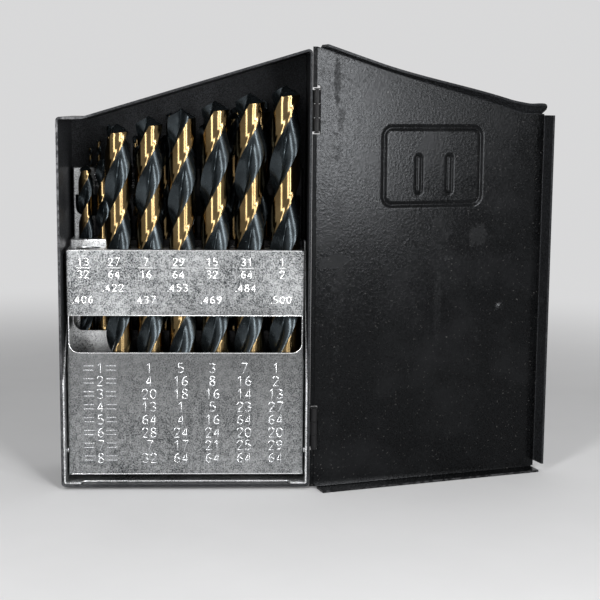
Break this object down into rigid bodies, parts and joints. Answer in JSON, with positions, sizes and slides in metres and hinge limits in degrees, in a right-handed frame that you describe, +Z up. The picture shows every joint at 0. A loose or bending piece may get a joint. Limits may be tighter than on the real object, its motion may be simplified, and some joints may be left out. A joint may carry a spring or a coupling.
{
  "type": "drill bit case",
  "caption": "Folded steel drill index standing open, with a side-hinged lid and three perforated trays of black-and-gold twist drills that fan forward.",
  "frame": {"origin": "middle of the pressed base that the case stands on", "axes": "+X to the hinge side, +Y from the open front to the back of the case, +Z up"},
  "size_m": [0.2037, 0.0487, 0.1801],
  "materials": {
    "black_powder_coat": "fine-textured black powder coat on folded steel sheet",
    "black_hinge_steel": "black-coated steel hinge leaves and pins",
    "zinc_plated_sheet": "zinc-plated steel sheet with a mottled spangle",
    "bright_studs": "plain bright steel studs and rivets",
    "black_and_gold_steel": "high-speed steel, black oxide in the flutes and gold on the lands"
  },
  "bodies": {
    "case": {"case_shell": "black_powder_coat", "tray_carrier": "zinc_plated_sheet", "carrier_rivets": "bright_studs", "lower_hinge_leaf": "black_hinge_steel", "upper_hinge_leaf": "black_hinge_steel", "lower_hinge_pin": "black_hinge_steel", "upper_hinge_pin": "black_hinge_steel", "front_tray_pivots": "bright_studs", "middle_tray_pivots": "bright_studs", "rear_tray_pivots": "bright_studs"},
    "lid": {"lid": "black_powder_coat"},
    "front_tray": {"front_tray_frame": "zinc_plated_sheet", "front_tray_shelf": "zinc_plated_sheet", "front_tray_guide": "zinc_plated_sheet", "front_tray_floor": "zinc_plated_sheet"},
    "middle_tray": {"middle_tray_frame": "zinc_plated_sheet", "middle_tray_shelf": "zinc_plated_sheet", "middle_tray_guide": "zinc_plated_sheet", "middle_tray_floor": "zinc_plated_sheet"},
    "rear_tray": {"rear_tray_frame": "zinc_plated_sheet", "rear_tray_shelf": "zinc_plated_sheet", "rear_tray_guide": "zinc_plated_sheet", "rear_tray_floor": "zinc_plated_sheet"},
    "drill_bit_27_64": {"drill_bit_27_64": "black_and_gold_steel"},
    "drill_bit_7_16": {"drill_bit_7_16": "black_and_gold_steel"},
    "drill_bit_29_64": {"drill_bit_29_64": "black_and_gold_steel"},
    "drill_bit_15_32": {"drill_bit_15_32": "black_and_gold_steel"},
    "drill_bit_31_64": {"drill_bit_31_64": "black_and_gold_steel"},
    "drill_bit_1_2": {"drill_bit_1_2": "black_and_gold_steel"},
    "drill_bit_1_4": {"drill_bit_1_4": "black_and_gold_steel"},
    "drill_bit_17_64": {"drill_bit_17_64": "black_and_gold_steel"},
    "drill_bit_9_32": {"drill_bit_9_32": "black_and_gold_steel"},
    "drill_bit_19_64": {"drill_bit_19_64": "black_and_gold_steel"},
    "drill_bit_5_16": {"drill_bit_5_16": "black_and_gold_steel"},
    "drill_bit_21_64": {"drill_bit_21_64": "black_and_gold_steel"},
    "drill_bit_11_32": {"drill_bit_11_32": "black_and_gold_steel"},
    "drill_bit_23_64": {"drill_bit_23_64": "black_and_gold_steel"},
    "drill_bit_3_8": {"drill_bit_3_8": "black_and_gold_steel"},
    "drill_bit_25_64": {"drill_bit_25_64": "black_and_gold_steel"},
    "drill_bit_1_16": {"drill_bit_1_16": "black_and_gold_steel"},
    "drill_bit_5_64": {"drill_bit_5_64": "black_and_gold_steel"},
    "drill_bit_3_32": {"drill_bit_3_32": "black_and_gold_steel"},
    "drill_bit_7_64": {"drill_bit_7_64": "black_and_gold_steel"},
    "drill_bit_1_8": {"drill_bit_1_8": "black_and_gold_steel"},
    "drill_bit_9_64": {"drill_bit_9_64": "black_and_gold_steel"},
    "drill_bit_5_32": {"drill_bit_5_32": "black_and_gold_steel"},
    "drill_bit_11_64": {"drill_bit_11_64": "black_and_gold_steel"},
    "drill_bit_3_16": {"drill_bit_3_16": "black_and_gold_steel"},
    "drill_bit_13_64": {"drill_bit_13_64": "black_and_gold_steel"},
    "drill_bit_7_32": {"drill_bit_7_32": "black_and_gold_steel"},
    "drill_bit_15_64": {"drill_bit_15_64": "black_and_gold_steel"}
  },
  "joints": [
    {"name": "lid_hinge", "type": "hinge", "parent": "case", "child": "lid", "pos_m": [0.05225, -0.02159, 0], "axis": [0, 0, 1], "range_deg": [-198.3, 0]},
    {"name": "front_tray_tilt", "type": "hinge", "parent": "case", "child": "front_tray", "pos_m": [0, -0.01229, 0.01455], "axis": [1, 0, 0], "range_deg": [0, 32]},
    {"name": "middle_tray_tilt", "type": "hinge", "parent": "case", "child": "middle_tray", "pos_m": [0, 0.00291, 0.03635], "axis": [1, 0, 0], "range_deg": [0, 19.2]},
    {"name": "rear_tray_tilt", "type": "hinge", "parent": "case", "child": "rear_tray", "pos_m": [0, 0.01533, 0.06935], "axis": [1, 0, 0], "range_deg": [0, 8]},
    {"name": "lift_27_64", "type": "slide", "parent": "front_tray", "child": "drill_bit_27_64", "axis": [0, 0, 1], "range_m": [0, 0.004]},
    {"name": "lift_7_16", "type": "slide", "parent": "front_tray", "child": "drill_bit_7_16", "axis": [0, 0, 1], "range_m": [0, 0.004]},
    {"name": "lift_29_64", "type": "slide", "parent": "front_tray", "child": "drill_bit_29_64", "axis": [0, 0, 1], "range_m": [0, 0.004]},
    {"name": "lift_15_32", "type": "slide", "parent": "front_tray", "child": "drill_bit_15_32", "axis": [0, 0, 1], "range_m": [0, 0.004]},
    {"name": "lift_31_64", "type": "slide", "parent": "front_tray", "child": "drill_bit_31_64", "axis": [0, 0, 1], "range_m": [0, 0.004]},
    {"name": "lift_1_2", "type": "slide", "parent": "front_tray", "child": "drill_bit_1_2", "axis": [0, 0, 1], "range_m": [0, 0.004]},
    {"name": "lift_1_4", "type": "slide", "parent": "middle_tray", "child": "drill_bit_1_4", "axis": [0, 0, 1], "range_m": [0, 0.004]},
    {"name": "lift_17_64", "type": "slide", "parent": "middle_tray", "child": "drill_bit_17_64", "axis": [0, 0, 1], "range_m": [0, 0.004]},
    {"name": "lift_9_32", "type": "slide", "parent": "middle_tray", "child": "drill_bit_9_32", "axis": [0, 0, 1], "range_m": [0, 0.004]},
    {"name": "lift_19_64", "type": "slide", "parent": "middle_tray", "child": "drill_bit_19_64", "axis": [0, 0, 1], "range_m": [0, 0.004]},
    {"name": "lift_5_16", "type": "slide", "parent": "middle_tray", "child": "drill_bit_5_16", "axis": [0, 0, 1], "range_m": [0, 0.004]},
    {"name": "lift_21_64", "type": "slide", "parent": "middle_tray", "child": "drill_bit_21_64", "axis": [0, 0, 1], "range_m": [0, 0.004]},
    {"name": "lift_11_32", "type": "slide", "parent": "middle_tray", "child": "drill_bit_11_32", "axis": [0, 0, 1], "range_m": [0, 0.004]},
    {"name": "lift_23_64", "type": "slide", "parent": "middle_tray", "child": "drill_bit_23_64", "axis": [0, 0, 1], "range_m": [0, 0.004]},
    {"name": "lift_3_8", "type": "slide", "parent": "middle_tray", "child": "drill_bit_3_8", "axis": [0, 0, 1], "range_m": [0, 0.004]},
    {"name": "lift_25_64", "type": "slide", "parent": "middle_tray", "child": "drill_bit_25_64", "axis": [0, 0, 1], "range_m": [0, 0.004]},
    {"name": "lift_1_16", "type": "slide", "parent": "rear_tray", "child": "drill_bit_1_16", "axis": [0, 0, 1], "range_m": [0, 0.004]},
    {"name": "lift_5_64", "type": "slide", "parent": "rear_tray", "child": "drill_bit_5_64", "axis": [0, 0, 1], "range_m": [0, 0.004]},
    {"name": "lift_3_32", "type": "slide", "parent": "rear_tray", "child": "drill_bit_3_32", "axis": [0, 0, 1], "range_m": [0, 0.004]},
    {"name": "lift_7_64", "type": "slide", "parent": "rear_tray", "child": "drill_bit_7_64", "axis": [0, 0, 1], "range_m": [0, 0.004]},
    {"name": "lift_1_8", "type": "slide", "parent": "rear_tray", "child": "drill_bit_1_8", "axis": [0, 0, 1], "range_m": [0, 0.004]},
    {"name": "lift_9_64", "type": "slide", "parent": "rear_tray", "child": "drill_bit_9_64", "axis": [0, 0, 1], "range_m": [0, 0.004]},
    {"name": "lift_5_32", "type": "slide", "parent": "rear_tray", "child": "drill_bit_5_32", "axis": [0, 0, 1], "range_m": [0, 0.004]},
    {"name": "lift_11_64", "type": "slide", "parent": "rear_tray", "child": "drill_bit_11_64", "axis": [0, 0, 1], "range_m": [0, 0.004]},
    {"name": "lift_3_16", "type": "slide", "parent": "rear_tray", "child": "drill_bit_3_16", "axis": [0, 0, 1], "range_m": [0, 0.004]},
    {"name": "lift_13_64", "type": "slide", "parent": "rear_tray", "child": "drill_bit_13_64", "axis": [0, 0, 1], "range_m": [0, 0.004]},
    {"name": "lift_7_32", "type": "slide", "parent": "rear_tray", "child": "drill_bit_7_32", "axis": [0, 0, 1], "range_m": [0, 0.004]},
    {"name": "lift_15_64", "type": "slide", "parent": "rear_tray", "child": "drill_bit_15_64", "axis": [0, 0, 1], "range_m": [0, 0.004]}
  ],
  "couplings": [
    {"joint": "middle_tray_tilt", "follows": "front_tray_tilt", "ratio": 0.6},
    {"joint": "rear_tray_tilt", "follows": "front_tray_tilt", "ratio": 0.25}
  ]
}
